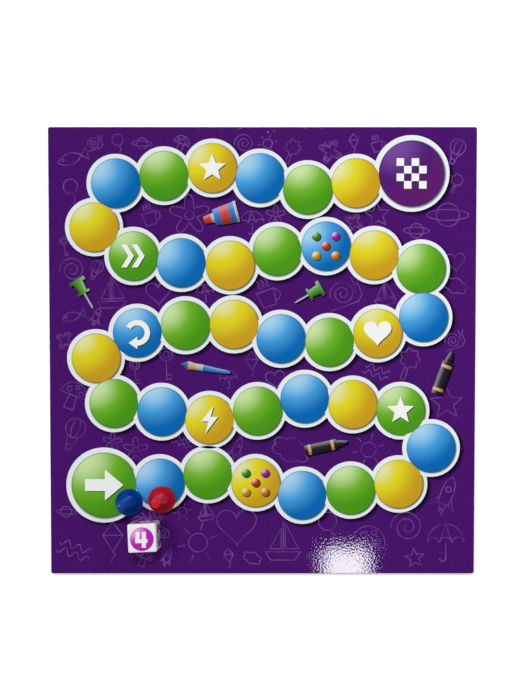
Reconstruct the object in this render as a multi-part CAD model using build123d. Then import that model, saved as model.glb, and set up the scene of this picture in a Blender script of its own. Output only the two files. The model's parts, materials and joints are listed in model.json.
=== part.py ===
from build123d import *
import os

# Flat game board with two pawns and a die, in millimetres.
# The origin is at the middle of the board's underside, +Y towards its far edge, +Z up.

# Board sizes
board_width = 246.0
board_depth = 257.0
core_thickness = 2.0
core_corner_radius = 0.9
wrap_thickness = 0.2
lower_fold_bevel = 0.1
turn_in_width = 15.0
mitre_gap = 0.5
mitre_end_margin = 2.5
liner_thickness = 0.15
liner_inset = 4.0
liner_corner_radius = 3.0
liner_step_clearance = 0.3

# Pawn sizes, the same moulding in two colours
pawn_height = 25.0
pawn_foot_radius = 7.9
pawn_foot_thickness = 1.9
pawn_foot_bevel = 0.95
pawn_ring_radius = 5.6
pawn_ring_thickness = 0.7
pawn_ring_bevel = 0.35
pawn_cone_radius = 5.0
pawn_neck_radius = 2.0
pawn_head_radius = 2.7
pawn_wall = 1.1
pawn_mouth_depth = 4.0
pawn_bore_radius = 2.2
pawn_hollow_depth = 13.0

# Die sizes
die_size = 16.0
die_edge_radius = 0.9
label_radius = 6.6
label_thickness = 0.12
label_drop = 0.5

# Places on the board, from its left and near edges
blue_pawn_from_left = 45.7
blue_pawn_from_near = 41.5
red_pawn_from_left = 64.6
red_pawn_from_near = 43.1
die_from_left = 55.7
die_from_near = 22.9
die_turn_degrees = 2.5
die_rest_clearance = 0.05

# One overrun serves all cuts
cut_overrun = 0.4

# Levels, from the surface that the board lies on upwards
core_bottom = liner_thickness + wrap_thickness
core_top = core_bottom + core_thickness
board_top = core_top + wrap_thickness

# The gap inside the turned-in edges, seen from below
window_width = board_width - 2 * turn_in_width
window_depth = board_depth - 2 * turn_in_width

# Outward and upright directions of each die face: opposite numbers add up to seven
die_faces = {
    1: ((0, -1, 0), (0, 0, 1)),
    2: ((-1, 0, 0), (0, 0, 1)),
    3: ((0, 0, -1), (0, 1, 0)),
    4: ((0, 0, 1), (0, 1, 0)),
    5: ((1, 0, 0), (0, 0, 1)),
    6: ((0, 1, 0), (0, 0, 1)),
}


def cornered_slab(width, depth, bottom, top, corner_radius):
    """A slab between two levels with rounded corners and square edges."""
    outline = Pos(0, 0, bottom) * RectangleRounded(width, depth, corner_radius)
    return extrude(outline, amount=top - bottom)


def slab_cut(width, depth, bottom, top):
    """A square-edged block between two levels, for cuts and raised fields."""
    return extrude(Pos(0, 0, bottom) * Rectangle(width, depth), amount=top - bottom)


def board_core():
    """The greyboard slab inside the wrap, punched out with square edges."""
    return cornered_slab(
        board_width - 2 * wrap_thickness,
        board_depth - 2 * wrap_thickness,
        core_bottom,
        core_top,
        core_corner_radius,
    )


def mitre_cuts():
    """The slits between neighbouring turn-ins, along the four corner diagonals."""
    run = (turn_in_width - mitre_end_margin) * 2**0.5 + cut_overrun
    middle_inset = (turn_in_width + mitre_end_margin + cut_overrun / 2**0.5) / 2
    bottom = liner_thickness - cut_overrun
    slit_height = wrap_thickness + 2 * cut_overrun
    cuts = []
    for side_x in (-1, 1):
        for side_y in (-1, 1):
            middle = Pos(
                side_x * (board_width / 2 - middle_inset),
                side_y * (board_depth / 2 - middle_inset),
                bottom,
            )
            slit = Rot(0, 0, side_x * side_y * 45) * Rectangle(run, mitre_gap)
            cuts.append(extrude(middle * slit, amount=slit_height))
    return cuts


def print_wrap():
    """The printed sheet: over the top, round the edges, creased and turned in below."""
    skin = cornered_slab(
        board_width,
        board_depth,
        liner_thickness,
        board_top,
        core_corner_radius + wrap_thickness,
    )
    skin = fillet(skin.faces().sort_by(Axis.Z)[-1].edges(), wrap_thickness)
    skin = chamfer(skin.faces().sort_by(Axis.Z)[0].edges(), lower_fold_bevel)
    window = slab_cut(
        window_width,
        window_depth,
        liner_thickness - cut_overrun,
        core_bottom + cut_overrun,
    )
    return skin - board_core() - window - mitre_cuts()


def back_liner():
    """The backing paper: flat on the turn-ins, pressed up to the core between them."""
    outline = RectangleRounded(
        board_width - 2 * liner_inset,
        board_depth - 2 * liner_inset,
        liner_corner_radius,
    )
    sheet = extrude(outline, amount=liner_thickness)
    field_width = window_width - 2 * liner_step_clearance
    field_depth = window_depth - 2 * liner_step_clearance
    field = slab_cut(field_width, field_depth, liner_thickness, core_bottom)
    pressed = slab_cut(
        field_width - 2 * liner_thickness,
        field_depth - 2 * liner_thickness,
        -cut_overrun,
        wrap_thickness,
    )
    return sheet + field - pressed


def pawn_outside():
    """Half section of the pawn: bevelled foot flange, ring, cone and ball head."""
    ring_top = pawn_foot_thickness + pawn_ring_thickness
    head_middle = pawn_height - pawn_head_radius
    neck_level = head_middle - (pawn_head_radius**2 - pawn_neck_radius**2) ** 0.5
    rim = (pawn_foot_radius - pawn_foot_bevel, pawn_foot_thickness - pawn_foot_bevel)
    bevel = (pawn_ring_radius - pawn_ring_bevel, ring_top - pawn_ring_bevel)
    neck = (pawn_neck_radius, neck_level)
    outline = [
        Line((0, 0), (pawn_foot_radius, 0)),
        Line((pawn_foot_radius, 0), (pawn_foot_radius, rim[1])),
        Line((pawn_foot_radius, rim[1]), (rim[0], pawn_foot_thickness)),
        Line((rim[0], pawn_foot_thickness), (pawn_ring_radius, pawn_foot_thickness)),
        Line((pawn_ring_radius, pawn_foot_thickness), (pawn_ring_radius, bevel[1])),
        Line((pawn_ring_radius, bevel[1]), (bevel[0], ring_top)),
        Line((bevel[0], ring_top), (pawn_cone_radius, ring_top)),
        Line((pawn_cone_radius, ring_top), neck),
        ThreePointArc(neck, (pawn_head_radius, head_middle), (0, pawn_height)),
        Line((0, pawn_height), (0, 0)),
    ]
    return make_face(outline)


def pawn_hollow():
    """Half section of the hollow that a stepped core pin leaves, open at the pawn's sole."""
    mouth_radius = pawn_cone_radius - pawn_wall
    outline = [
        Line((0, 0), (mouth_radius, 0)),
        Line((mouth_radius, 0), (mouth_radius, pawn_mouth_depth)),
        Line((mouth_radius, pawn_mouth_depth), (pawn_bore_radius, pawn_mouth_depth)),
        Line((pawn_bore_radius, pawn_mouth_depth), (pawn_bore_radius, pawn_hollow_depth)),
        Line((pawn_bore_radius, pawn_hollow_depth), (0, pawn_hollow_depth)),
        Line((0, pawn_hollow_depth), (0, 0)),
    ]
    return make_face(outline)


def pawn(from_left, from_near):
    """One pawn standing on the board."""
    section = Plane.XZ * (pawn_outside() - pawn_hollow())
    place = Pos(from_left - board_width / 2, from_near - board_depth / 2, board_top)
    return place * revolve(section, Axis.Z)


def die_place():
    """The middle of the die, turned as it lies on the board on its lowest label."""
    level = board_top + die_rest_clearance + label_thickness + die_size / 2
    middle = Pos(die_from_left - board_width / 2, die_from_near - board_depth / 2, level)
    return middle * Rot(0, 0, die_turn_degrees)


def die_body():
    """The cube with rounded edges and corners."""
    cube = Box(die_size, die_size, die_size)
    return die_place() * fillet(cube.edges(), die_edge_radius)


def die_label(outward, upright):
    """A round label on one face, a little below the middle of the face."""
    middle = Vector(*outward) * (die_size / 2) - Vector(*upright) * label_drop
    face_plane = Plane(origin=middle, x_dir=Vector(*upright).cross(Vector(*outward)), z_dir=outward)
    return die_place() * extrude(face_plane * Circle(label_radius), amount=label_thickness)


nodes = {
    "board_core": board_core(),
    "print_wrap": print_wrap(),
    "back_liner": back_liner(),
    "blue_pawn": pawn(blue_pawn_from_left, blue_pawn_from_near),
    "red_pawn": pawn(red_pawn_from_left, red_pawn_from_near),
    "die_body": die_body(),
}
for number, (outward, upright) in die_faces.items():
    nodes[f"die_label_{number}"] = die_label(outward, upright)

os.makedirs("parts", exist_ok=True)
for name, solid in nodes.items():
    export_step(solid, f"parts/{name}.step")
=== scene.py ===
import json
import math

import bmesh
import bpy
from bpy.props import FloatProperty, FloatVectorProperty, IntProperty, PointerProperty
from mathutils import Matrix, Vector


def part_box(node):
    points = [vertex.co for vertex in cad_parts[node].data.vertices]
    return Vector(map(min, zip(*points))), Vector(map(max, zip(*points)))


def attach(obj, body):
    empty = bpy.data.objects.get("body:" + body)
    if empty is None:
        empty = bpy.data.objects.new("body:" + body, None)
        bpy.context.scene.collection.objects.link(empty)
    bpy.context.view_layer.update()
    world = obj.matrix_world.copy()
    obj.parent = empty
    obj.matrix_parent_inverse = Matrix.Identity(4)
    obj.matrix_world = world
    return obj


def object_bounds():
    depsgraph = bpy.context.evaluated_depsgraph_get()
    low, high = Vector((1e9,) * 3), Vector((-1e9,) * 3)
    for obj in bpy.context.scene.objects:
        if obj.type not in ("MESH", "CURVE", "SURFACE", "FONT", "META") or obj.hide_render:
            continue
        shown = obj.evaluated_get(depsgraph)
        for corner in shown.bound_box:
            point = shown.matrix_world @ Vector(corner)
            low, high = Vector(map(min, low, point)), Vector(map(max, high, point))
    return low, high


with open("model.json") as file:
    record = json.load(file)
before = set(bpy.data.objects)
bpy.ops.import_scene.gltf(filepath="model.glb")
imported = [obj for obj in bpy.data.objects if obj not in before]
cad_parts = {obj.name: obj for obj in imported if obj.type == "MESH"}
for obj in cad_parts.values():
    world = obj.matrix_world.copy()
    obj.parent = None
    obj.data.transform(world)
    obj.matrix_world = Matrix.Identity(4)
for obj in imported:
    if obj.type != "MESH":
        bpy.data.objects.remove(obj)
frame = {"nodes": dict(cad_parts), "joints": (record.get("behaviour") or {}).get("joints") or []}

bl_info = {
    "name": "Flat board game",
    "version": (1, 0, 0),
    "blender": (4, 5, 0),
    "location": "View3D > Sidebar > Board game",
    "description": "Prints the board of a race game and finishes its pawns, its die and the stage",
    "category": "Object",
}

# The frame's measures, in metres: the CAD box, the printed face and the die's turn on the board
CAD_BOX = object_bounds()
BOARD_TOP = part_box("print_wrap")[1].z
DIE_ROLL = next(joint for joint in frame["joints"] if joint["name"] == "die_roll")
DIE_TURN = math.atan2(-DIE_ROLL["axis"][0], DIE_ROLL["axis"][1])

# The box of the label on top, which lies level, gives the radius and thickness of all six labels
LEVEL_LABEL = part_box("die_label_4")

# A millimetre in metres
MM = 0.001

# Outward and upright directions of the die's faces, before the die is turned
DIE_FACES = {
    1: ((0, -1, 0), (0, 0, 1)),
    2: ((-1, 0, 0), (0, 0, 1)),
    3: ((0, 0, -1), (0, 1, 0)),
    4: ((0, 0, 1), (0, 1, 0)),
    5: ((1, 0, 0), (0, 0, 1)),
    6: ((0, 1, 0), (0, 0, 1)),
}

# Sockets of the colour Mix node, which have no names of their own
FACTOR, FIRST, SECOND, MIXED = 0, 6, 7, 2

# Ink levels in steps above the sheet or label, and how much higher each next line or stretch of
# the same drawing lies
RIM_LEVELS = (1, 2)
SPACE_LEVELS = (3, 4)
SYMBOL_SHADE_LEVEL = 5
SYMBOL_LEVEL = 6
DOODLE_LEVEL = 0.3
PICTURE_SHADE_LEVEL = 2
PICTURE_LEVEL = 3
DRAWING_RISE = 0.1
LABEL_LEVEL = 1
NUMERAL_LEVEL = 2
NUMERAL_RISE = 0.3
BEDDING = 0.003 * MM

# Sides of a printed disc, and how far the corners of a printed line may reach out: by one over this
ROUND_SIDES = 96
MITRE_LIMIT = 0.5

# How far the shades of discs, symbols and pictures fall, as shares of a rim's own shade
DISC_SHADE_SHARE = 0.3
SYMBOL_SHADE_SHARE = 0.35
PICTURE_SHADE_SHARE = 0.6


def linear(hex_code):
    """Linear red, green and blue of an sRGB hex colour."""
    shares = [int(hex_code[i : i + 2], 16) / 255 for i in (1, 3, 5)]
    return [s / 12.92 if s <= 0.04045 else ((s + 0.055) / 1.055) ** 2.4 for s in shares]


def length(name, description, millimetres):
    """A length that the user can change, given in millimetres."""
    return FloatProperty(name=name, description=description, default=millimetres * MM, unit="LENGTH")


def power(name, description, watts):
    """A lamp's power that the user can change."""
    return FloatProperty(name=name, description=description, default=watts, unit="POWER")


def colour(name, description, hex_code):
    """A colour that the user can change, given as an sRGB hex value."""
    tint = linear(hex_code)
    return FloatVectorProperty(
        name=name, description=description, default=tint, subtype="COLOR", min=0, max=1
    )


class PrintSizes(bpy.types.PropertyGroup):
    """Sizes of what is printed on the board and on the die."""

    lanes: IntProperty(name="Lanes", description="Rows that the track runs along", default=5, min=2)
    lane_reach: length("Lane reach", "From the board's middle to where a lane's turn begins", 73)
    first_lane: length("First lane", "Height of the first lane, from the board's middle", -77)
    lane_pitch: length("Lane pitch", "From one lane up to the next", 44)
    lane_sway: length("Lane sway", "How far a lane swings up and down", 8)
    turn_bulge: FloatProperty(
        name="Turn bulge",
        description="Width of a turn, as a share of a half circle's",
        default=1.12,
        subtype="FACTOR",
    )
    start_reach: length("Start", "From the board's middle out to the start space", 92)
    spaces: IntProperty(name="Spaces", description="Small spaces between start and finish", default=36)
    space_pitch: length("Space pitch", "From one small space to the next", 27.9)
    space_radius: length("Space radius", "Radius of the coloured disc of a small space", 14.1)
    rim_radius: length("Rim radius", "Radius of the white disc under a small space", 16.7)
    end_gap: length("End gap", "From the start or finish space to the next small one", 32.2)
    end_radius: length("End radius", "Radius of the coloured disc at start and finish", 18.8)
    end_rim_radius: length("End rim radius", "Radius of the white disc at start and finish", 21.8)
    shade_right: length("Shade to the right", "How far the printed shades fall to the right", 1.5)
    shade_down: length("Shade downwards", "How far the printed shades fall to the near side", 1.3)
    shade_blur: length("Shade blur", "Width over which the printed shades fade", 2.4)
    symbol_radius: length("Symbol radius", "Reach of a symbol on a small space", 8.2)
    end_symbol_radius: length("End symbol radius", "Reach of the symbol at start and finish", 11.5)
    doodle_line: length("Doodle line", "Width of the faint line drawings", 0.55)
    doodle_step: length("Doodle step", "Pitch of the places tried for the line drawings", 4.5)
    doodle_radius: length("Doodle radius", "Reach of the largest line drawings", 12)
    doodle_overlap: length("Doodle overlap", "How far a space may hide a line drawing", 2.5)
    edge_margin: length("Edge margin", "From the board's edge to the line drawings", 3)
    ink_step: length("Ink step", "Thickness of one layer of ink", 0.006)
    label_bleed: length("Label border", "Bare film round the print of a die label", 0.03)
    numeral_radius: length("Numeral", "Half the height of a numeral on the die", 4.5)


class PrintColours(bpy.types.PropertyGroup):
    """Colours of what is printed on the board and on the die."""

    ground: colour("Ground", "Purple of the board", "#48146a")
    shade: colour("Shade", "Shade that the white rims throw on the ground", "#12041c")
    rim: colour("Rim", "White rims of the spaces", "#e6edef")
    rim_shade: colour("Rim shade", "Shade that a coloured disc throws on its rim", "#4d5257")
    yellow_light: colour("Light yellow", "Lit side of the yellow spaces", "#e3e5a5")
    yellow: colour("Yellow", "Middle of the yellow spaces", "#e0d523")
    yellow_deep: colour("Deep yellow", "Far side of the yellow spaces", "#c79d1e")
    blue_light: colour("Light blue", "Lit side of the blue spaces", "#a6d4ed")
    blue: colour("Blue", "Middle of the blue spaces", "#48a3e1")
    blue_deep: colour("Deep blue", "Far side of the blue spaces", "#0767b0")
    green_light: colour("Light green", "Lit side of the green spaces", "#cae4a5")
    green: colour("Green", "Middle of the green spaces", "#74b82c")
    green_deep: colour("Deep green", "Far side of the green spaces", "#499719")
    violet_light: colour("Light violet", "Lit side of the finish space", "#73489a")
    violet: colour("Violet", "Middle of the finish space", "#4c1d70")
    violet_deep: colour("Deep violet", "Far side of the finish space", "#5c1c6c")
    magenta_light: colour("Light magenta", "Lit side of the die labels", "#ea9fe6")
    magenta: colour("Magenta", "Middle of the die labels", "#c234c0")
    magenta_deep: colour("Deep magenta", "Far side of the die labels", "#b722b3")
    symbol: colour("Symbol", "White of the symbols and numerals", "#f1f4f2")
    symbol_shade: colour("Symbol shade", "Shade that the symbols throw on their spaces", "#2b3a2a")
    doodle: colour("Doodle", "Faint line drawings on the ground", "#7a5299")


class PieceColours(bpy.types.PropertyGroup):
    """Colours of the loose pieces and of the board's hidden materials."""

    # Each pawn's thick tint carries a painted glow, and its foot tint a painted shade for the dark board
    # seen through the thin plastic
    blue_pawn: colour("Blue pawn", "Tinted blue plastic, where it is thick", "#043f9f")
    blue_pawn_shaded_foot: colour("Blue foot", "Tinted blue plastic, where it is thin", "#02398e")
    red_pawn: colour("Red pawn", "Tinted red plastic, where it is thick", "#d41a2a")
    red_pawn_shaded_foot: colour("Red foot", "Tinted red plastic, where it is thin", "#ab1526")
    die: colour("Die", "White plastic", "#f2f3f0")
    label: colour("Label", "Bare film at the edge of the die labels", "#d27ad0")
    liner: colour("Liner", "Backing paper", "#2a2530")
    greyboard: colour("Greyboard", "Core of the board", "#8f8a80")


class StageSizes(bpy.types.PropertyGroup):
    """Camera, lamps and floor."""

    camera_height: length("Camera height", "From the printed face up to the camera", 400)
    camera_near: length("Camera foot", "How far the camera stands towards the near edge", 48.5)
    camera_lean: FloatProperty(
        name="Camera lean",
        description="How far the camera leans towards the near edge",
        default=math.radians(1.4),
        unit="ROTATION",
    )
    view_height: length("View height", "Length of board that the picture's long side spans", 404.2)
    view_beyond: length("View middle", "How far beyond the board's middle the picture's is", 1.1)
    floor_size: length("Floor", "Side of the floor", 6000)
    floor_drop: length("Floor drop", "Gap under the board that keeps floor and liner apart", 0.1)
    floor: colour("Floor colour", "Plain pale floor", "#f4f4f4")
    left_power: power("Left lamp", "Large lamp at the left", 152)
    far_power: power("Far lamp", "Large lamp beyond the far edge", 144)
    fill_power: power("Fill lamp", "Near lamp at the far right", 0.37)
    glare_power: power("Glare lamp", "Small lamp that shows in the gloss", 0.68)


# Materials


def node(tree, kind, links=None, **settings):
    """Adds a node: settings are its properties, links its inputs, each a value or an output."""
    made = tree.nodes.new("ShaderNode" + kind)
    for name, value in settings.items():
        setattr(made, name, value)
    for name, value in (links or {}).items():
        if isinstance(value, bpy.types.NodeSocket):
            tree.links.new(value, made.inputs[name])
        else:
            made.inputs[name].default_value = value
    return made


def opaque(rgb):
    """A colour with full alpha, as a node's socket takes it."""
    return (*rgb, 1)


def paler(rgb):
    """A colour half way to white."""
    return [0.5 + 0.5 * share for share in rgb]


def darker(rgb, kept):
    """A colour that keeps only a share of its light."""
    return [kept * share for share in rgb]


def lay_over(tree, base, tone, measure, start, end, share=1.0):
    """Lays a tone over a base colour: none where the measure is at start, its full share at end."""
    ramp = {"Value": measure, "From Min": start, "From Max": end, "To Max": share}
    fade = node(tree, "MapRange", ramp, interpolation_type="SMOOTHSTEP").outputs["Result"]
    inks = {FACTOR: fade, FIRST: base, SECOND: opaque(tone)}
    return node(tree, "Mix", inks, data_type="RGBA").outputs[MIXED]


def material(name, finish, *values):
    """A material whose shader has the inputs that a finish works out from its values."""
    made = bpy.data.materials.new(name)
    made.use_nodes = True
    tree = made.node_tree
    tree.nodes.clear()
    place = node(tree, "TexCoord").outputs["Object"]
    shader = node(tree, "BsdfPrincipled", finish(tree, place, *values))
    node(tree, "OutputMaterial", {"Surface": shader.outputs["BSDF"]})
    return made


def laminated(name, paint, *values):
    """A print on the board's own sheet."""
    return material("film_laminated_print_" + name, gloss_film, paint, *values)


def dress(name, finish):
    """Gives a CAD node its material."""
    data = frame["nodes"][name].data
    data.materials.clear()
    data.materials.append(finish)


# Finishes, each from what the real material is


def gloss_film(tree, place, paint, *values):
    """Offset print under a gloss film: deep colour, a clear mirror-like shine, and a film that
    follows the paper's fibres, so that the edge of a reflection breaks up into specks. The fibres
    are too fine for the render, so they are drawn as coarse as they need to show."""
    fibre, fibre_height, smear = 1.3 * MM, 0.024 * MM, 40 * MM
    peel = node(tree, "TexNoise", {"Vector": place, "Scale": 1 / fibre, "Detail": 2.0})
    bump = node(tree, "Bump", {"Height": peel.outputs["Fac"], "Strength": 1.0, "Distance": fibre_height})
    smears = node(tree, "TexNoise", {"Vector": place, "Scale": 1 / smear, "Detail": 4.0})
    polish = node(tree, "MapRange", {"Value": smears.outputs["Fac"], "To Min": 0.012, "To Max": 0.03})
    return {
        "Base Color": paint(tree, *values),
        "Roughness": polish.outputs["Result"],
        "IOR": 1.5,
        "Normal": bump.outputs["Normal"],
    }


def tinted_polystyrene_painted_shade_and_glow(tree, place, thick, thin, low, high):
    """Injection moulded polystyrene, tinted so strongly that light only glows through it. Its colour
    holds painted light: a painted shade in the thin foot, for the dark board that shows through, and a
    painted glow in the cone and the head, where light scatters back. The skin has a hard but faint
    shine. Low and high are the levels between which the painted shade gives way to the painted glow."""
    flow_width, flow_height, glow_depth = 1.6 * MM, 0.1 * MM, 3.0 * MM
    level = node(tree, "SeparateXYZ", {"Vector": place}).outputs["Z"]
    flow = node(tree, "TexNoise", {"Vector": place, "Scale": 1 / flow_width, "Detail": 2.0})
    bump = node(tree, "Bump", {"Height": flow.outputs["Fac"], "Strength": 1.0, "Distance": flow_height})
    polish = node(tree, "MapRange", {"Value": flow.outputs["Fac"], "To Min": 0.24, "To Max": 0.36})
    return {
        # Painted light: the colour runs from a painted shade at the foot up to a painted glow in the cone
        # and head
        "Base Color": lay_over(tree, opaque(thin), thick, level, start=low, end=high),
        "Roughness": polish.outputs["Result"],
        "IOR": 1.5,
        "Specular IOR Level": 0.0,
        "Coat Weight": 0.35,
        "Coat Roughness": 0.07,
        "Coat IOR": 1.59,
        "Subsurface Weight": 0.6,
        "Subsurface Radius": (1, 1, 1),
        "Subsurface Scale": glow_depth,
        "Normal": bump.outputs["Normal"],
        "Coat Normal": bump.outputs["Normal"],
    }


def moulded_white(tree, place, rgb):
    """Injection moulded opaque plastic, tumbled after moulding: satin, with faint scuffs."""
    scuff, scuff_depth, glow_depth = 1.5 * MM, 0.02 * MM, 1.0 * MM
    scuffs = node(tree, "TexNoise", {"Vector": place, "Scale": 1 / scuff, "Detail": 6.0})
    bump = node(tree, "Bump", {"Height": scuffs.outputs["Fac"], "Strength": 0.5, "Distance": scuff_depth})
    polish = node(tree, "MapRange", {"Value": scuffs.outputs["Fac"], "To Min": 0.2, "To Max": 0.42})
    return {
        "Base Color": ink_grain(tree, rgb, depth=0.008),
        "Roughness": polish.outputs["Result"],
        "IOR": 1.54,
        "Subsurface Weight": 0.15,
        "Subsurface Radius": (1, 0.9, 0.8),
        "Subsurface Scale": glow_depth,
        "Normal": bump.outputs["Normal"],
    }


def fibrous_paper(tree, place, rgb, fibre):
    """Uncoated paper or board: matt, with short fibres in its colour and surface. The fibres on top
    are half as light again as the pulp between them."""
    fibre_height = 0.05 * MM
    felt = {"Vector": place, "Scale": 1 / fibre, "Detail": 6.0, "Distortion": 1.5}
    felt = node(tree, "TexNoise", felt).outputs["Fac"]
    bump = node(tree, "Bump", {"Height": felt, "Strength": 0.6, "Distance": fibre_height})
    polish = node(tree, "MapRange", {"Value": felt, "To Min": 0.92, "To Max": 0.78})
    top_fibre = [min(1, 1.5 * share + 0.01) for share in rgb]
    pulp = {FACTOR: felt, FIRST: opaque(rgb), SECOND: opaque(top_fibre)}
    return {
        "Base Color": node(tree, "Mix", pulp, data_type="RGBA").outputs[MIXED],
        "Roughness": polish.outputs["Result"],
        "IOR": 1.47,
        "Normal": bump.outputs["Normal"],
    }


def matt_white(tree, place, rgb):
    """A floor's matt white that stays white to the camera, far from the lamps too, and still takes
    the object's shadow: its own light comes up where the shadow ends, in metres from the middle. The
    paper's tooth is too fine for the render, so it is drawn coarse."""
    tooth_width, tooth_height = 2 * MM, 0.05 * MM
    tooth = node(tree, "TexNoise", {"Vector": place, "Scale": 1 / tooth_width, "Detail": 2.0})
    bump = node(tree, "Bump", {"Height": tooth.outputs["Fac"], "Strength": 0.2, "Distance": tooth_height})
    paths = node(tree, "LightPath").outputs
    seen = 0.0
    for ray in ("Is Camera Ray", "Is Glossy Ray", "Is Transmission Ray"):
        seen = node(tree, "Math", {0: seen, 1: paths[ray]}, operation="MAXIMUM").outputs["Value"]
    away = node(tree, "VectorMath", {0: place}, operation="LENGTH").outputs["Value"]
    lift = {"Value": away, "From Min": 0.3, "From Max": 1.0, "To Min": 0.3, "To Max": 1.0}
    lift = node(tree, "MapRange", lift, interpolation_type="SMOOTHSTEP").outputs["Result"]
    glow = node(tree, "Math", {0: seen, 1: lift}, operation="MULTIPLY")
    return {
        "Base Color": opaque(rgb),
        "Roughness": 0.9,
        "IOR": 1.3,
        "Normal": bump.outputs["Normal"],
        "Emission Color": (1, 1, 1, 1),
        "Emission Strength": glow.outputs["Value"],
    }


# Inks, each a colour for the print under the film

# Where a printed ball is lit and how far its lit tone reaches from there, in radii of its disc: the
# usual reach, and that of some colours
LIT_SIDE = (-0.6, 0.8, 0)
LIT_REACH = 1.15
LIT_REACHES = {"yellow": 0.8, "blue": 1.05, "green": 1.1}


def ink_grain(tree, rgb, depth=0.009):
    """An even ink with the faint unevenness of a printed sheet. Its dots are too fine for the
    render, so they are drawn as coarse specks."""
    grain = 0.9 * MM
    place = node(tree, "TexCoord").outputs["Object"]
    specks = node(tree, "TexNoise", {"Vector": place, "Scale": 1 / grain, "Detail": 3.0})
    lift = node(tree, "MapRange", {"Value": specks.outputs["Fac"], "To Min": -depth, "To Max": depth})
    uneven = node(tree, "BrightContrast", {"Color": opaque(rgb), "Bright": lift.outputs["Result"]})
    return uneven.outputs["Color"]


def ground_ink(tree, sizes, colours):
    """The purple ground with the soft shade of each rim on its lower right side."""
    blur = sizes.shade_blur
    place = node(tree, "TexCoord").outputs["Object"]
    flat = node(tree, "VectorMath", {0: place, 1: (1, 1, 0)}, operation="MULTIPLY").outputs["Vector"]
    nearest = blur
    for spot, is_end in track_places(sizes):
        middle = (*shaded_spot(sizes, spot), 0)
        away = node(tree, "VectorMath", {0: flat, 1: middle}, operation="DISTANCE").outputs["Value"]
        edge = {0: away, 1: rim_reach(sizes, is_end)}
        edge = node(tree, "Math", edge, operation="SUBTRACT").outputs["Value"]
        nearest = node(tree, "Math", {0: nearest, 1: edge}, operation="MINIMUM").outputs["Value"]
    base = ink_grain(tree, colours.ground)
    return lay_over(tree, base, colours.shade, nearest, start=0.8 * blur, end=-0.4 * blur, share=0.92)


def rim_ink(tree, sizes, colours):
    """White rims with the narrow shade of the coloured disc on their lower right side."""
    drawn = node(tree, "Attribute", attribute_name="drawn").outputs["Vector"]
    middle = (*shaded_spot(sizes, (0, 0), DISC_SHADE_SHARE / sizes.space_radius), 0)
    away = node(tree, "VectorMath", {0: drawn, 1: middle}, operation="DISTANCE").outputs["Value"]
    base = ink_grain(tree, colours.rim, depth=0.015)
    return lay_over(tree, base, colours.rim_shade, away, start=1.06, end=0.98, share=0.95)


def tones(colours, name):
    """The lit, middle and deep tone of a printed ball."""
    return [tuple(getattr(colours, name + tone)) for tone in ("_light", "", "_deep")]


def ball_ink(tree, light, body, deep, lit_reach=LIT_REACH):
    """A disc printed like a ball: lit at its upper left, deeper all round from there, and with a
    dark edge."""
    drawn = node(tree, "Attribute", attribute_name="drawn").outputs["Vector"]
    away = node(tree, "VectorMath", {0: drawn, 1: LIT_SIDE}, operation="DISTANCE").outputs["Value"]
    reach = node(tree, "VectorMath", {0: drawn}, operation="LENGTH").outputs["Value"]
    lit = lay_over(tree, opaque(light), body, away, start=0.15, end=lit_reach)
    ball = lay_over(tree, lit, deep, away, start=0.7, end=1.7)
    return lay_over(tree, ball, darker(deep, kept=0.45), reach, start=0.95, end=0.99, share=0.5)


def barrel_ink(tree, rgb):
    """A small picture's ink, shaded across like a round stick that is lit from above."""
    drawn = node(tree, "Attribute", attribute_name="drawn").outputs["Vector"]
    across = node(tree, "SeparateXYZ", {"Vector": drawn}).outputs["Y"]
    lit = lay_over(tree, opaque(rgb), paler(rgb), across, start=0.0, end=0.9, share=0.4)
    return lay_over(tree, lit, darker(rgb, kept=0.25), across, start=0.1, end=-0.9, share=0.75)


def chalk_ink(tree, ground, line):
    """Faint drawings on the ground, whose line comes and goes as a chalk's does."""
    stretch = 7 * MM
    place = node(tree, "TexCoord").outputs["Object"]
    press = node(tree, "TexNoise", {"Vector": place, "Scale": 1 / stretch, "Detail": 3.0})
    share = {"Value": press.outputs["Fac"], "From Min": 0.3, "From Max": 0.7, "To Min": 0.15}
    share = node(tree, "MapRange", share).outputs["Result"]
    inks = {FACTOR: share, FIRST: opaque(ground), SECOND: opaque(line)}
    return node(tree, "Mix", inks, data_type="RGBA").outputs[MIXED]


# Printed shapes


def new_ink():
    """An empty mesh for printed shapes, which keeps each point's place in its own drawing."""
    mesh = bmesh.new()
    mesh.verts.layers.float_vector.new("drawn")
    return mesh


def put(mesh, place, points, level, shading):
    """Points of a flat drawing, set at a height above the plane that place puts it on."""
    drawn = mesh.verts.layers.float_vector["drawn"]
    lift = (place.to_3x3() @ Vector((0, 0, 1))).normalized() * level
    made = []
    for (x, y), shade in zip(points, shading):
        vert = mesh.verts.new(place @ Vector((x, y, 0)) + lift)
        vert[drawn] = (*shade, 0)
        made.append(vert)
    return made


def fill(mesh, faces, ink):
    """Faces between points that are already put, all in one ink."""
    for corners in faces:
        mesh.faces.new(corners).material_index = ink


def print_shape(mesh, place, outline, top, ink=0, shading=None):
    """One flat printed shape: a thin closed slab, bedded a little in the sheet."""
    low = put(mesh, place, outline, -BEDDING, shading or outline)
    high = put(mesh, place, outline, top, shading or outline)
    walls = [(low[i - 1], low[i], high[i], high[i - 1]) for i in range(len(outline))]
    fill(mesh, [high, low[::-1], *walls], ink)


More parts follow.
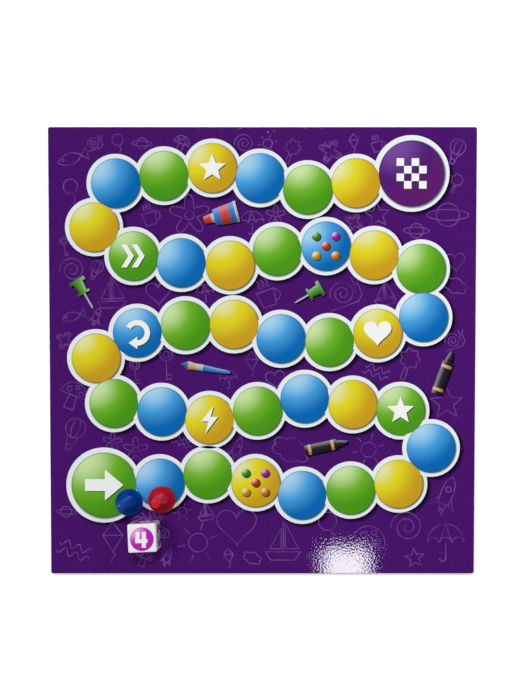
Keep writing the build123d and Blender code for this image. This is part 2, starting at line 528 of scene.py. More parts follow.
def print_line(mesh, place, line, width, top, ink=0, closed=False):
    """A printed line of even width with mitred corners, closed below and at its ends."""
    points = [Vector(point) for point in line]
    last = len(points) - 1
    left, right = [], []
    for i, point in enumerate(points):
        before = points[i - 1] if i or closed else None
        after = points[(i + 1) % (last + 1)] if i < last or closed else None
        ways = [(b - a).normalized() for a, b in ((before, point), (point, after)) if a and b]
        ahead = sum(ways, Vector((0, 0))).normalized()
        side = Vector((-ahead.y, ahead.x))
        mitre = max(MITRE_LIMIT, abs(side.dot(Vector((-ways[0].y, ways[0].x)))))
        left.append(point + side * (width / 2 / mitre))
        right.append(point - side * (width / 2 / mitre))
    across = [(0, 1)] * len(points), [(0, -1)] * len(points)
    rails = ((left, -BEDDING), (right, -BEDDING), (right, top), (left, top))
    loops = [put(mesh, place, rail, level, across[rail is right]) for rail, level in rails]
    for i in range(0 if closed else 1, last + 1):
        pairs = zip(loops, loops[1:] + loops[:1])
        fill(mesh, [(one[i - 1], one[i], other[i], other[i - 1]) for one, other in pairs], ink)
    if not closed:
        fill(mesh, [[loop[0] for loop in loops], [loop[last] for loop in reversed(loops)]], ink)


def mesh_object(name, mesh, finishes):
    """A finished mesh as an object of the scene, with its materials."""
    data = bpy.data.meshes.new(name)
    mesh.to_mesh(data)
    mesh.free()
    for finish in finishes:
        data.materials.append(finish)
    made = bpy.data.objects.new(name, data)
    bpy.context.scene.collection.objects.link(made)
    return made


def printed_piece(name, mesh, inks, body):
    """The finished print as a piece that rides on a body."""
    bmesh.ops.recalc_face_normals(mesh, faces=mesh.faces)
    piece = mesh_object(name, mesh, inks)
    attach(piece, body)


def on_board(x, y, size=1.0, tilt=0.0):
    """Where a drawing lies on the printed face, with its size and tilt."""
    spot = Matrix.Translation((x, y, BOARD_TOP))
    return spot @ Matrix.Rotation(tilt, 4, "Z") @ Matrix.Scale(size, 4)


def shaded_spot(sizes, spot, share=1.0):
    """Where the shade of a drawing lies: to the right of its spot and on the near side."""
    x, y = spot
    return x + share * sizes.shade_right, y - share * sizes.shade_down


def arc(x, y, radius, start, end, steps=24):
    """Points of an arc, its angles in degrees."""
    angles = [math.radians(start + (end - start) * i / steps) for i in range(steps + 1)]
    return [(x + radius * math.cos(a), y + radius * math.sin(a)) for a in angles]


def ring(sides=ROUND_SIDES, radius=1.0, x=0.0, y=0.0):
    """Points of a full circle."""
    return arc(x, y, radius, 0, 360, sides)[:-1]


def polar(radius_at, steps=60, tall=1.0):
    """A closed line round the middle, its radius a function of the angle."""
    angles = [2 * math.pi * i / steps for i in range(steps)]
    return [(radius_at(a) * math.cos(a), tall * radius_at(a) * math.sin(a)) for a in angles]


# The board and its track


class GAME_OT_board(bpy.types.Operator):
    """Give the wrap its print, and the core and liner their papers"""

    bl_idname = "board_game.board"
    bl_label = "Board"

    def execute(self, context):
        sizes, colours = context.scene.print_sizes, context.scene.print_colours
        pieces = context.scene.piece_colours
        core_fibre, liner_fibre = 1.2 * MM, 0.8 * MM
        dress("print_wrap", laminated("purple", ground_ink, sizes, colours))
        dress("board_core", material("pressed_greyboard", fibrous_paper, pieces.greyboard, core_fibre))
        dress("back_liner", material("uncoated_liner_paper", fibrous_paper, pieces.liner, liner_fibre))
        return {"FINISHED"}


def lane_point(sizes, lane, walked):
    """A point of one lane; walked runs from 0 at its first end to 1 at its last."""
    way = -1 if lane % 2 else 1
    sway = math.sin(2 * math.pi * walked) * math.sin(math.pi * walked)
    x = way * sizes.lane_reach * (2 * walked - 1)
    return Vector((x, sizes.first_lane + lane * sizes.lane_pitch + sizes.lane_sway * sway))


def turn_point(sizes, lane, walked):
    """A point of the turn from one lane up to the next."""
    way = -1 if lane % 2 else 1
    angle = math.pi * (walked - 0.5)
    radius = sizes.lane_pitch / 2
    x = way * (sizes.lane_reach + sizes.turn_bulge * radius * math.cos(angle))
    return Vector((x, sizes.first_lane + lane * sizes.lane_pitch + radius * (1 + math.sin(angle))))


def track_line(sizes, steps=400):
    """The middle line of the track in small steps."""
    line = [Vector((-sizes.start_reach, sizes.first_lane))]
    for lane in range(sizes.lanes):
        line += [lane_point(sizes, lane, i / steps) for i in range(steps)]
        line += [turn_point(sizes, lane, i / steps) for i in range(steps)]
    return line


def track_places(sizes):
    """The middles of all spaces along the track, each with whether it is the start or finish."""
    line = track_line(sizes)
    places = [(line[0], True)]
    for point in line:
        reached = len(places) - 1
        gap = sizes.space_pitch if 0 < reached < sizes.spaces else sizes.end_gap
        if (point - places[-1][0]).length >= gap:
            places.append((point, reached == sizes.spaces))
        if places[-1][1] and reached:
            break
    return places


def rim_reach(sizes, is_end):
    """Radius of a space's white rim."""
    return sizes.end_rim_radius if is_end else sizes.rim_radius


# The small spaces' colours in turn, how far a space's lit side tilts at most, and how fast the tilt
# changes from one space to the next
SPACE_COLOURS = ("blue", "green", "yellow")
BALL_TILT = math.radians(16)
BALL_SWAY = 2.3


class GAME_OT_track(bpy.types.Operator):
    """Print the white rims and the coloured spaces of the track"""

    bl_idname = "board_game.track"
    bl_label = "Track"

    def execute(self, context):
        sizes, colours = context.scene.print_sizes, context.scene.print_colours
        step = sizes.ink_step
        rims = new_ink()
        spaces = {name: new_ink() for name in (*SPACE_COLOURS, "violet")}
        for index, (spot, is_end) in enumerate(track_places(sizes)):
            radius = sizes.end_radius if is_end else sizes.space_radius
            rim = ring(radius=rim_reach(sizes, is_end) / radius)
            print_shape(rims, on_board(*spot, radius), rim, RIM_LEVELS[index % 2] * step)
            name = SPACE_COLOURS[(index - 1) % len(SPACE_COLOURS)]
            if is_end:
                name = "violet" if index else "green"
            place = on_board(*spot, radius, BALL_TILT * math.sin(BALL_SWAY * index))
            print_shape(spaces[name], place, ring(), SPACE_LEVELS[index % 2] * step)
        white = laminated("white", rim_ink, sizes, colours)
        printed_piece("space_rims", rims, [white], "board")
        for name, mesh in spaces.items():
            ink = laminated(name, ball_ink, *tones(colours, name), LIT_REACHES.get(name, LIT_REACH))
            printed_piece(name + "_spaces", mesh, [ink], "board")
        return {"FINISHED"}


# Symbols, each a list of outlines within a circle of radius 1


def star():
    """A star with five points."""
    radii = (1.0, 0.44)
    turns = [math.pi / 2 + i * math.pi / 5 for i in range(10)]
    return [[(radii[i % 2] * math.cos(a), radii[i % 2] * math.sin(a)) for i, a in enumerate(turns)]]


def heart(steps=48):
    """A heart on the usual sine formula."""
    line = []
    for i in range(steps):
        a = 2 * math.pi * i / steps
        y = 13 * math.cos(a) - 5 * math.cos(2 * a) - 2 * math.cos(3 * a) - math.cos(4 * a)
        line.append((math.sin(a) ** 3 * 0.98, y / 16.5 + 0.12))
    return [line]


def chevrons():
    """Two chevrons that point onwards."""
    shape = [(0, 0.8), (0.4, 0.8), (0.9, 0), (0.4, -0.8), (0, -0.8), (0.5, 0)]
    return [[(x + shift, y) for x, y in shape] for shift in (-0.85, -0.1)]


def bolt():
    """A flash of lightning."""
    return [[(0.3, 1), (-0.6, -0.12), (-0.08, -0.12), (-0.3, -1), (0.6, 0.2), (0.08, 0.2)]]


def pips():
    """The five of a die."""
    spread, radius, sides = 0.68, 0.31, 32
    spots = [(0, 0)] + [(spread * x, spread * y) for x in (-1, 1) for y in (-1, 1)]
    return [ring(sides, radius, x, y) for x, y in spots]


def turn_back():
    """An arrow that turns round on itself."""
    band = arc(0, 0, 0.9, 150, -90, 32) + arc(0, 0, 0.52, -90, 150, 32)
    head = [(0, -0.28), (-0.62, -0.71), (0, -1.14)]
    return [band, head]


def onward():
    """A broad arrow to the right."""
    half = [(-0.95, 0.3), (0.05, 0.3), (0.05, 0.78), (0.98, 0)]
    return [half + [(x, -y) for x, y in reversed(half[:-1])]]


def chequers(count=4, width=1.5):
    """A chequered field."""
    side = width / count
    fields = []
    for column in range(count):
        for row in range(count):
            if (column + row) % 2:
                x, y = column * side - width / 2, row * side - width / 2
                fields.append([(x, y), (x + side, y), (x + side, y + side), (x, y + side)])
    return fields


# Which small spaces carry a symbol
SPACE_SYMBOLS = {
    3: pips,
    8: star,
    12: bolt,
    16: turn_back,
    21: heart,
    25: pips,
    29: chevrons,
    33: star,
}

# Tints of the five balls, which take the place of white ink in pips
PIP_INKS = ("#d8452f", "#e9b326", "#4f9f20", "#e08427", "#b02cb6")


class GAME_OT_symbols(bpy.types.Operator):
    """Print the symbols on the special spaces, at the start and at the finish"""

    bl_idname = "board_game.symbols"
    bl_label = "Symbols"

    def execute(self, context):
        sizes, colours = context.scene.print_sizes, context.scene.print_colours
        step = sizes.ink_step
        places = track_places(sizes)
        symbols = {index: (shape(), sizes.symbol_radius) for index, shape in SPACE_SYMBOLS.items()}
        symbols[0] = (onward(), sizes.end_symbol_radius)
        symbols[len(places) - 1] = (chequers(), sizes.end_symbol_radius)
        inks = [
            laminated("symbol", ink_grain, colours.symbol),
            laminated("symbol_shade", ink_grain, colours.symbol_shade),
        ]
        first_ball = len(inks)
        for count, tint in enumerate(PIP_INKS, 1):
            body = linear(tint)
            inks.append(laminated(f"ball_{count}", ball_ink, paler(body), body, darker(body, kept=0.4)))
        mesh = new_ink()
        for index, (outlines, radius) in symbols.items():
            spot = places[index][0]
            place = on_board(*spot, radius)
            shade = on_board(*shaded_spot(sizes, spot, SYMBOL_SHADE_SHARE), radius)
            is_ball = SPACE_SYMBOLS.get(index) is pips
            for count, outline in enumerate(outlines):
                print_shape(mesh, shade, outline, SYMBOL_SHADE_LEVEL * step, 1)
                ink, drawing = (first_ball + count, ring(len(outline))) if is_ball else (0, None)
                print_shape(mesh, place, outline, SYMBOL_LEVEL * step, ink, drawing)
        printed_piece("space_symbols", mesh, inks, "board")
        return {"FINISHED"}


# Small pictures

# Their inks
PICTURE_INKS = {
    "red": "#cf4433",
    "blue": "#3a78c4",
    "steel": "#b4bac2",
    "tan": "#d0a262",
    "dark": "#2a2230",
    "green": "#4f9a2c",
}

# Each picture as a row of round stretches: start, end, half widths there, and ink
PICTURES = {
    "crayon": (
        (-1, 0.5, 0.24, 0.24, "dark"),
        (-0.86, -0.72, 0.24, 0.24, "tan"),
        (0.22, 0.36, 0.24, 0.24, "tan"),
        (0.5, 0.62, 0.16, 0.16, "dark"),
        (0.62, 1, 0.16, 0.06, "dark"),
    ),
    "brush": (
        (-1, -0.9, 0.03, 0.07, "blue"),
        (-0.9, 0.1, 0.07, 0.13, "blue"),
        (0.1, 0.42, 0.13, 0.13, "steel"),
        (0.42, 0.7, 0.13, 0.17, "tan"),
        (0.7, 1, 0.17, 0.01, "blue"),
    ),
    "pin": (
        (-1, -0.85, 0.005, 0.05, "steel"),
        (-0.85, -0.05, 0.05, 0.05, "steel"),
        (-0.05, 0.08, 0.38, 0.34, "green"),
        (0.08, 0.62, 0.22, 0.28, "green"),
        (0.62, 0.82, 0.46, 0.46, "green"),
    ),
    "tube": (
        (-1, 0.4, 0.62, 0.46, "blue"),
        (-1, -0.84, 0.62, 0.62, "steel"),
        (-0.5, 0.02, 0.57, 0.52, "red"),
        (0.4, 0.56, 0.3, 0.24, "steel"),
        (0.56, 1, 0.28, 0.2, "red"),
    ),
}

# Each picture's shape, place and reach in millimetres, and tilt in degrees
PICTURE_PLACES = (
    ("crayon", 37, -54.5, 12.5, 12),
    ("brush", -33, -9.5, 14.5, 170),
    ("pin", 27, 33, 10, 30),
    ("tube", -24, 78, 10, 195),
    ("pin", -103, 34, 10.5, 120),
    ("crayon", 105, -12, 13, 70),
)

# Share of a picture's reach that the line drawings keep clear of
PICTURE_CLEAR_SHARE = 0.6


class GAME_OT_pictures(bpy.types.Operator):
    """Print the small coloured pictures in the gaps of the track"""

    bl_idname = "board_game.pictures"
    bl_label = "Pictures"

    def execute(self, context):
        sizes, colours = context.scene.print_sizes, context.scene.print_colours
        names = list(PICTURE_INKS)
        inks = [laminated("picture_" + name, barrel_ink, linear(PICTURE_INKS[name])) for name in names]
        inks.append(laminated("picture_shade", ink_grain, colours.shade))
        mesh = new_ink()
        for picture, x, y, reach, tilt in PICTURE_PLACES:
            spot, reach, tilt = (x * MM, y * MM), reach * MM, math.radians(tilt)
            place = on_board(*spot, reach, tilt)
            shade = on_board(*shaded_spot(sizes, spot, PICTURE_SHADE_SHARE), reach, tilt)
            upside = -1 if math.cos(tilt) < 0 else 1
            across = [(0, -upside), (0, -upside), (0, upside), (0, upside)]
            for layer, (start, end, wide, far_wide, ink) in enumerate(PICTURES[picture]):
                outline = [(start, -wide), (end, -far_wide), (end, far_wide), (start, wide)]
                top = (PICTURE_SHADE_LEVEL + DRAWING_RISE * layer) * sizes.ink_step
                print_shape(mesh, shade, outline, top, len(names))
                top = (PICTURE_LEVEL + DRAWING_RISE * layer) * sizes.ink_step
                print_shape(mesh, place, outline, top, names.index(ink), across)
        printed_piece("ground_pictures", mesh, inks, "board")
        return {"FINISHED"}


# Doodles within a circle of radius 1, each as groups of lines: the first group closed, the second
# open, the third closed again


def both_sides(line):
    """A line of the right side and its mirror image, the left one first."""
    return [[(side * x, y) for x, y in line] for side in (-1, 1)]


def hanging_line(swing, pace, top, steps=12):
    """A wavy line from a height down to the circle."""
    drops = [i / steps for i in range(steps + 1)]
    return [(swing * math.sin(pace * drop), top - (1 + top) * drop) for drop in drops]


def sun_doodle():
    """A disc with rays."""
    rays = [[(0.62 * math.cos(a), 0.62 * math.sin(a)), (math.cos(a), math.sin(a))] for a in range(6)]
    return [ring(32, 0.45)], rays


def spiral():
    """Points of a spiral of two and a half turns."""
    turns = [i / 60 for i in range(6, 61)]
    return [(t * math.cos(5 * math.pi * t), t * math.sin(5 * math.pi * t)) for t in turns]


def spiral_doodle():
    """A spiral."""
    return [], [spiral()]


def flower_doodle():
    """Five petals and a middle."""
    petals = polar(lambda a: 0.68 + 0.3 * math.cos(5 * a))
    return [[petals, ring(20, 0.22)]]


def cloud_doodle():
    """A cloud with round bumps."""
    return [[polar(lambda a: 0.78 + 0.2 * abs(math.sin(3 * a)), 72, 0.6)]]


def star_doodle():
    """The outline of a star."""
    return [star()]


def heart_doodle():
    """The outline of a heart."""
    return [heart(24)]


def wave_doodle():
    """Two waves, one above the other."""
    steps = [i / 24 - 1 for i in range(49)]
    return [], [[(x, y + 0.2 * math.sin(9 * x)) for x in steps] for y in (-0.25, 0.25)]


def planet_doodle():
    """A planet with its ring."""
    halo = [(x * 0.94 - y * 0.34, x * 0.34 + y * 0.94) for x, y in polar(lambda a: 1.0, 48, 0.26)]
    return [[ring(32, 0.55), halo]]


def kite_doodle():
    """A kite with its tail."""
    sail = [(0, 1), (0.48, 0.35), (0, -0.45), (-0.48, 0.35)]
    spar = [(-0.48, 0.35), (0.48, 0.35)]
    return [sail], [spar, hanging_line(swing=0.1, pace=6, top=-0.45)]


def fish_doodle():
    """A fish with its eye."""
    body = arc(-0.1, -0.55, 0.95, 40, 140, 16) + arc(-0.1, 0.67, 0.95, 220, 320, 16)
    tail = [(0.62, 0.06), (1, 0.4), (1, -0.3), (0.62, 0.06)]
    return [body], [tail], [ring(10, 0.07, -0.5, 0.12)]


def balloon_doodle():
    """A balloon on its string."""
    return [ring(32, 0.55, 0, 0.38)], [hanging_line(swing=0.12, pace=5, top=-0.28)]


def tree_doodle():
    """A round tree."""
    crown = [(x, y + 0.35) for x, y in polar(lambda a: 0.55 + 0.08 * math.sin(7 * a))]
    trunk = [(-0.1, -0.2), (-0.14, -0.95), (0.14, -0.95), (0.1, -0.2)]
    return [crown], [trunk]


def boat_doodle():
    """A sailing boat."""
    hull = [(-0.85, -0.45), (0.85, -0.45), (0.55, -0.85), (-0.6, -0.85)]
    main_sail = [(0.1, -0.3), (0.1, 0.95), (0.75, -0.3)]
    fore_sail = [(-0.1, -0.3), (-0.1, 0.7), (-0.65, -0.3)]
    mast = [(0, -0.45), (0, 1)]
    return [hull, main_sail, fore_sail], [mast]


def airship_doodle():
    """A hot-air balloon with its basket."""
    seam = [(0.4 * x, y + 0.38) for x, y in ring(28, 0.6)]
    basket = [(-0.2, -0.65), (0.2, -0.65), (0.15, -0.98), (-0.15, -0.98)]
    return [ring(36, 0.6, 0, 0.38), seam, basket], both_sides([(0.36, -0.1), (0.17, -0.65)])


def rocket_doodle():
    """A rocket with its fins and flame."""
    side = [(0.22, 0.7), (0.3, 0.3), (0.27, -0.4)]
    hull = [(0, 1)] + side + [(-x, y) for x, y in reversed(side)]
    fins = both_sides([(0.29, -0.05), (0.6, -0.6), (0.27, -0.4)])
    flame = [(-0.15, -0.45), (-0.1, -0.8), (0, -0.6), (0.1, -0.95), (0.15, -0.45)]
    return [hull, ring(16, 0.13, 0, 0.35)], [flame, *fins]


def snail_doodle():
    """A snail with its shell."""
    shell = [(0.62 * x - 0.15, 0.62 * y + 0.05) for x, y in spiral()]
    body = [(-0.95, -0.55), (0.45, -0.55), (0.72, -0.3), (0.7, 0.25), (0.5, 0.3), (0.45, -0.1)]
    feelers = [[(0.55, 0.3), (0.45, 0.7)], [(0.68, 0.28), (0.85, 0.65)]]
    return [], [shell, body, *feelers]


def butterfly_doodle():
    """A butterfly with spotted wings."""
    wings = polar(lambda a: 0.3 + 0.65 * math.sin(2 * a) ** 2, 80)
    spots = [ring(12, 0.13, 0.45 * x, 0.45 * y) for x in (-1, 1) for y in (-1, 1)]
    return [wings, *spots], both_sides([(0, 0.3), (0.22, 0.85)])


def mushroom_doodle():
    """A spotted mushroom."""
    stem = [(-0.22, 0), (-0.3, -0.85), (0.3, -0.85), (0.22, 0)]
    spots = [ring(14, 0.15, -0.35, 0.3), ring(14, 0.12, 0.1, 0.55), ring(14, 0.13, 0.42, 0.22)]
    return [arc(0, 0, 0.8, 180, 0)], [stem], spots


def umbrella_doodle():
    """An open umbrella."""
    edge = [point for x in (0.6, 0, -0.6) for point in arc(x, -0.05, 0.3, 12, 168, 10)]
    handle = [(0, 0), (0, -0.75)] + arc(-0.15, -0.75, 0.15, 0, -180, 8)
    return [arc(0, 0, 0.9, 180, 0) + edge], [handle, *both_sides([(0, 0.9), (0.3, 0)])]


def cup_doodle():
    """A steaming cup."""
    cup = [(-0.65, 0.2), (-0.5, -0.75), (0.3, -0.75), (0.45, 0.2)]
    steam = [[(x + 0.07 * math.sin(2 * y), y / 10) for y in range(4, 10)] for x in (-0.35, -0.1, 0.15)]
    return [cup], [arc(0.4, -0.2, 0.32, 75, -105, 14), *steam]


def key_doodle():
    """An old door key."""
    shaft = [(0, 0.2), (0, -0.98)]
    teeth = [[(0, y), (0.32, y)] for y in (-0.65, -0.9)]
    return [ring(24, 0.38, 0, 0.58), ring(16, 0.2, 0, 0.58)], [shaft, *teeth]


DOODLES = (
    boat_doodle,
    sun_doodle,
    mushroom_doodle,
    kite_doodle,
    snail_doodle,
    planet_doodle,
    umbrella_doodle,
    flower_doodle,
    rocket_doodle,
    heart_doodle,
    butterfly_doodle,
    cloud_doodle,
    key_doodle,
    fish_doodle,
    airship_doodle,
    star_doodle,
    cup_doodle,
    tree_doodle,
    spiral_doodle,
    balloon_doodle,
    wave_doodle,
)

# Reach of the line drawings from the largest to the smallest, as shares
DOODLE_SHARES = (1.0, 0.8, 0.62, 0.48)

# How far a line drawing tilts at most, in radians, and how fast the tilt changes from one to the next
DOODLE_TILT = 0.4
DOODLE_SWAY = 2.1


def scattered(cell):
    """A number that puts the cells of a grid in a mixed order, the same at every run."""
    return math.sin(12 * cell.x + 7 * cell.y)


def doodle_places(sizes):
    """Places for the doodles on the free ground and their reach: large ones first, small ones between."""
    low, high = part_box("print_wrap")
    taken = []
    for spot, is_end in track_places(sizes):
        taken.append((spot, rim_reach(sizes, is_end) - sizes.doodle_overlap))
    for _, x, y, reach, _ in PICTURE_PLACES:
        taken.append((Vector((x, y)) * MM, PICTURE_CLEAR_SHARE * reach * MM))
    covered = len(taken)
    columns = int((high.x - low.x) / sizes.doodle_step)
    rows = int((high.y - low.y) / sizes.doodle_step)
    tried = [Vector((column, row)) for column in range(columns) for row in range(rows)]
    tried.sort(key=scattered)
    for share in DOODLE_SHARES:
        reach = share * sizes.doodle_radius
        for cell in tried:
            spot = Vector((low.x, low.y)) + cell * sizes.doodle_step
            edge = min(spot.x - low.x, high.x - spot.x, spot.y - low.y, high.y - spot.y)
            is_free = edge > reach + sizes.edge_margin
            if is_free and all((spot - other).length > reach + radius for other, radius in taken):
                taken.append((spot, reach))
    return taken[covered:]


class GAME_OT_doodles(bpy.types.Operator):
    """Draw the faint line drawings on the ground"""

    bl_idname = "board_game.doodles"
    bl_label = "Doodles"

    def execute(self, context):
        sizes, colours = context.scene.print_sizes, context.scene.print_colours
        mesh = new_ink()
        for count, (spot, reach) in enumerate(doodle_places(sizes)):
            place = on_board(*spot, reach, DOODLE_TILT * math.sin(DOODLE_SWAY * count))
            groups = enumerate(DOODLES[count % len(DOODLES)]())
            lines = [(line, group % 2 == 0) for group, drawn in groups for line in drawn]
            for layer, (line, closed) in enumerate(lines):
                top = (DOODLE_LEVEL + DRAWING_RISE * layer) * sizes.ink_step
                print_line(mesh, place, line, sizes.doodle_line / reach, top, closed=closed)
        ink = laminated("chalk", chalk_ink, colours.ground, colours.doodle)
        printed_piece("ground_doodles", mesh, [ink], "board")
        return {"FINISHED"}


# Pawns and die

# Where a pawn's thin foot, with its painted shade, ends and its cone, with its painted glow, begins, as
# shares of its height
FOOT_SHADE_SHARES = (0.08, 0.25)


class GAME_OT_pawns(bpy.types.Operator):
    """Give the two pawns their tinted plastic, with a painted shade in the foot and a painted glow above
    it
    """

    bl_idname = "board_game.pawns"
    bl_label = "Pawns"

    def execute(self, context):
        pieces = context.scene.piece_colours
        for name in ("blue_pawn", "red_pawn"):
            shade_and_glow_tints = getattr(pieces, name), getattr(pieces, name + "_shaded_foot")
            foot, head = (corner.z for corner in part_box(name))
            levels = [foot + share * (head - foot) for share in FOOT_SHADE_SHARES]
            dress(name, material("tinted_polystyrene_" + name, tinted_polystyrene_painted_shade_and_glow, *shade_and_glow_tints, *levels))
        return {"FINISHED"}


# Numerals, each a list of lines in a box about 2 high
NUMERALS = {
    1: [[(-0.42, 0.42), (0.1, 0.8), (0.1, -1.07)]],
    2: [arc(-0.02, 0.42, 0.47, 165, -38) + [(-0.52, -0.82), (0.6, -0.82)]],
    3: [arc(-0.06, 0.4, 0.42, 150, -80), arc(-0.06, -0.48, 0.5, 80, -155)],
    4: [[(-0.47, 0.92), (-0.58, -0.22), (0.68, -0.22)], [(0.29, 0.92), (0.2, -1.07)]],
    5: [[(0.5, 0.7), (-0.38, 0.7), (-0.44, 0.02)] + arc(-0.04, -0.38, 0.52, 115, -145)],
    6: [arc(0.5, -0.45, 1.06, 105, 178), arc(-0.04, -0.48, 0.5, 0, 360)],
}
NUMERAL_STROKE = 0.5


def die_face(number):
    """Where a drawing lies on one die label: its plane, with the label's middle as origin."""
    turn = Matrix.Rotation(DIE_TURN, 3, "Z")
    outward, upright = (turn @ Vector(way) for way in DIE_FACES[number])
    low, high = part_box(f"die_label_{number}")
    thickness = LEVEL_LABEL[1].z - LEVEL_LABEL[0].z
    middle = (low + high) / 2 + outward * thickness / 2
    plane = Matrix((upright.cross(outward), upright, outward)).transposed().to_4x4()
    return Matrix.Translation(middle) @ plane


class GAME_OT_die(bpy.types.Operator):
    """Finish the die, and print its six labels with numerals"""

    bl_idname = "board_game.die"
    bl_label = "Die"

    def execute(self, context):
        sizes, colours = context.scene.print_sizes, context.scene.print_colours
        pieces = context.scene.piece_colours
        step = sizes.ink_step
        dress("die_body", material("moulded_white_plastic", moulded_white, pieces.die))
        film = material("gloss_label_film", gloss_film, ink_grain, pieces.label)
        magenta = material("gloss_label_print_magenta", gloss_film, ball_ink, *tones(colours, "magenta"))
        white = material("gloss_label_print_white", gloss_film, ink_grain, colours.symbol)
        radius = (LEVEL_LABEL[1].x - LEVEL_LABEL[0].x) / 2 - sizes.label_bleed
        for number in DIE_FACES:
            dress(f"die_label_{number}", film)
            mesh = new_ink()
            print_shape(mesh, die_face(number) @ Matrix.Scale(radius, 4), ring(), LABEL_LEVEL * step)
            place = die_face(number) @ Matrix.Scale(sizes.numeral_radius, 4)
            for layer, line in enumerate(NUMERALS[number]):
                top = (NUMERAL_LEVEL + NUMERAL_RISE * layer) * step
                print_line(mesh, place, line, NUMERAL_STROKE, top, 1)
            printed_piece(f"label_print_{number}", mesh, [magenta, white], "die")
        return {"FINISHED"}


# The stage

# Each lamp's place and size in metres, whether it faces straight down or the middle of the board, and
# whether the gloss mirrors it
LAMPS = {
    "left": ((-3.4, 1.1, 5.25), (1.8, 1.8), False, True),
    "far": ((0.0, 3.3, 5.25), (1.2, 1.2), False, True),
    "fill": ((0.28, 0.14, 0.3), (0.08, 0.08), False, False),
    "glare": ((0.195, -0.36, 1.2), (0.105, 0.1), True, True),
}

# The room's light by how high a direction points, from 0 level to 1 straight up: the windows above
# dim walls, how far the ceiling dims them, and where reflections still see white
ROOM_LIGHT = {
    "walls": {"From Min": 0.3, "From Max": 0.6, "To Min": 0.06, "To Max": 0.34},
    "ceiling": {"From Min": 0.78, "From Max": 0.9, "To Min": 1.0, "To Max": 0.08},
    "skyline": {"From Min": 0.04, "From Max": 0.12, "To Min": 1.0, "To Max": 0.0},
}


def make_floor(stage):
    """A floor just under the board."""
    mesh = bmesh.new()
    bmesh.ops.create_grid(mesh, x_segments=4, y_segments=4, size=stage.floor_size / 2)
    floor = mesh_object("floor", mesh, [material("matt_white_paper", matt_white, stage.floor)])
    floor.location.z = CAD_BOX[0].z - stage.floor_drop


def make_world(scene):
    """A room lit all round from high windows, with a dim ceiling, so that the gloss stays deep. The
    camera sees it white, and so do reflections near the floor."""
    world = bpy.data.worlds.new("pale_room")
    world.use_nodes = True
    tree = world.node_tree
    tree.nodes.clear()
    direction = node(tree, "TexCoord").outputs["Generated"]
    height = node(tree, "SeparateXYZ", {"Vector": direction}).outputs["Z"]
    light = {}
    for name, ramp in ROOM_LIGHT.items():
        ramp = node(tree, "MapRange", {"Value": height, **ramp}, interpolation_type="SMOOTHSTEP")
        light[name] = ramp.outputs["Result"]
    paths = node(tree, "LightPath").outputs
    mirrored = {0: paths["Is Glossy Ray"], 1: paths["Is Transmission Ray"]}
    mirrored = node(tree, "Math", mirrored, operation="MAXIMUM").outputs["Value"]
    level = paths["Is Camera Ray"]
    for part in ((light["skyline"], mirrored), (light["walls"], light["ceiling"])):
        part = node(tree, "Math", dict(enumerate(part)), operation="MULTIPLY").outputs["Value"]
        level = node(tree, "Math", {0: level, 1: part}, operation="MAXIMUM").outputs["Value"]
    glow = node(tree, "Background", {"Color": (1, 1, 1, 1), "Strength": level})
    node(tree, "OutputWorld", {"Surface": glow.outputs["Background"]})
    scene.world = world


def make_lamp(scene, name, watts, place, size, faces_down, is_mirrored):
    """A rectangular soft lamp. One that isn't mirrored lights the pieces, but leaves no glare on
    their gloss."""
    data = bpy.data.lights.new(name, "AREA")
    data.shape = "RECTANGLE"
    data.size, data.size_y = size
    data.energy = watts
    made = bpy.data.objects.new(name, data)
    made.location = place
    made.visible_glossy = is_mirrored
    if not faces_down:
        made.rotation_euler = (-Vector(place)).to_track_quat("-Z", "Y").to_euler()
    scene.collection.objects.link(made)


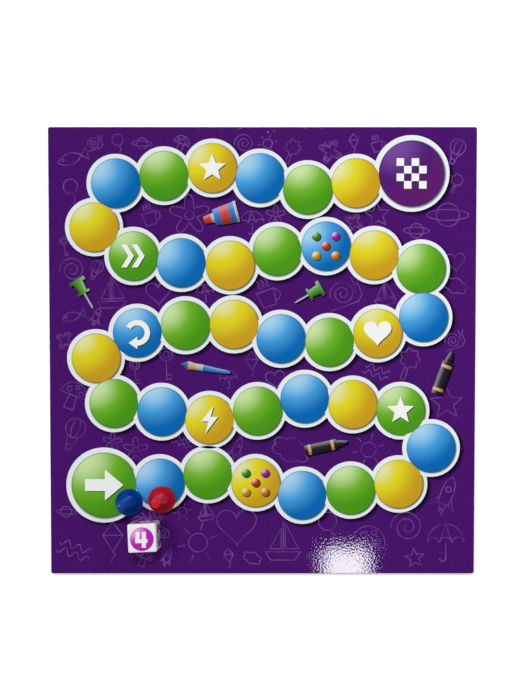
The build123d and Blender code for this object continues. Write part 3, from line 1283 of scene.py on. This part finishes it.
def make_camera(scene, stage):
    """The camera looks nearly straight down; its shift brings the board to the picture's middle."""
    spot = Vector((0, -stage.camera_near, BOARD_TOP + stage.camera_height))
    aim = Vector((0, stage.view_beyond, BOARD_TOP))
    middle = Matrix.Rotation(stage.camera_lean, 3, "X") @ (aim - spot)
    data = bpy.data.cameras.new("camera")
    data.lens = data.sensor_width * -middle.z / stage.view_height
    data.shift_y = middle.y / stage.view_height
    made = bpy.data.objects.new("camera", data)
    made.location = spot
    made.rotation_euler.x = -stage.camera_lean
    scene.collection.objects.link(made)
    scene.camera = made


class GAME_OT_stage(bpy.types.Operator):
    """Set up the floor, the lamps, the world and the camera"""

    bl_idname = "board_game.stage"
    bl_label = "Stage"

    def execute(self, context):
        scene = context.scene
        stage = scene.stage_sizes
        make_floor(stage)
        make_world(scene)
        for name, settings in LAMPS.items():
            make_lamp(scene, name + "_lamp", getattr(stage, name + "_power"), *settings)
        make_camera(scene, stage)
        scene.view_settings.view_transform = "Standard"
        return {"FINISHED"}


class GAME_PT_panel(bpy.types.Panel):
    """Lists the steps and the sizes and colours that they use"""

    bl_idname = "GAME_PT_panel"
    bl_label = "Board game"
    bl_space_type = "VIEW_3D"
    bl_region_type = "UI"
    bl_category = "Board game"

    def draw(self, context):
        for step in STEPS:
            self.layout.operator(step.bl_idname)
        for group in GROUPS:
            box = self.layout.box()
            for name in GROUPS[group].__annotations__:
                box.prop(getattr(context.scene, group), name)


STEPS = (
    GAME_OT_board,
    GAME_OT_track,
    GAME_OT_symbols,
    GAME_OT_doodles,
    GAME_OT_pictures,
    GAME_OT_pawns,
    GAME_OT_die,
    GAME_OT_stage,
)
GROUPS = {
    "print_sizes": PrintSizes,
    "print_colours": PrintColours,
    "piece_colours": PieceColours,
    "stage_sizes": StageSizes,
}


def register():
    """Registers the classes and hangs the settings on the scene."""
    for made in (*GROUPS.values(), *STEPS, GAME_PT_panel):
        bpy.utils.register_class(made)
    for name, group in GROUPS.items():
        setattr(bpy.types.Scene, name, PointerProperty(type=group))


def unregister():
    """Takes the settings and the classes away again."""
    for name in GROUPS:
        delattr(bpy.types.Scene, name)
    for made in reversed((*GROUPS.values(), *STEPS, GAME_PT_panel)):
        bpy.utils.unregister_class(made)


def main():
    register()
    bpy.ops.board_game.board()
    bpy.ops.board_game.track()
    bpy.ops.board_game.symbols()
    bpy.ops.board_game.doodles()
    bpy.ops.board_game.pictures()
    bpy.ops.board_game.pawns()
    bpy.ops.board_game.die()
    bpy.ops.board_game.stage()


if __name__ == "__main__":
    main()
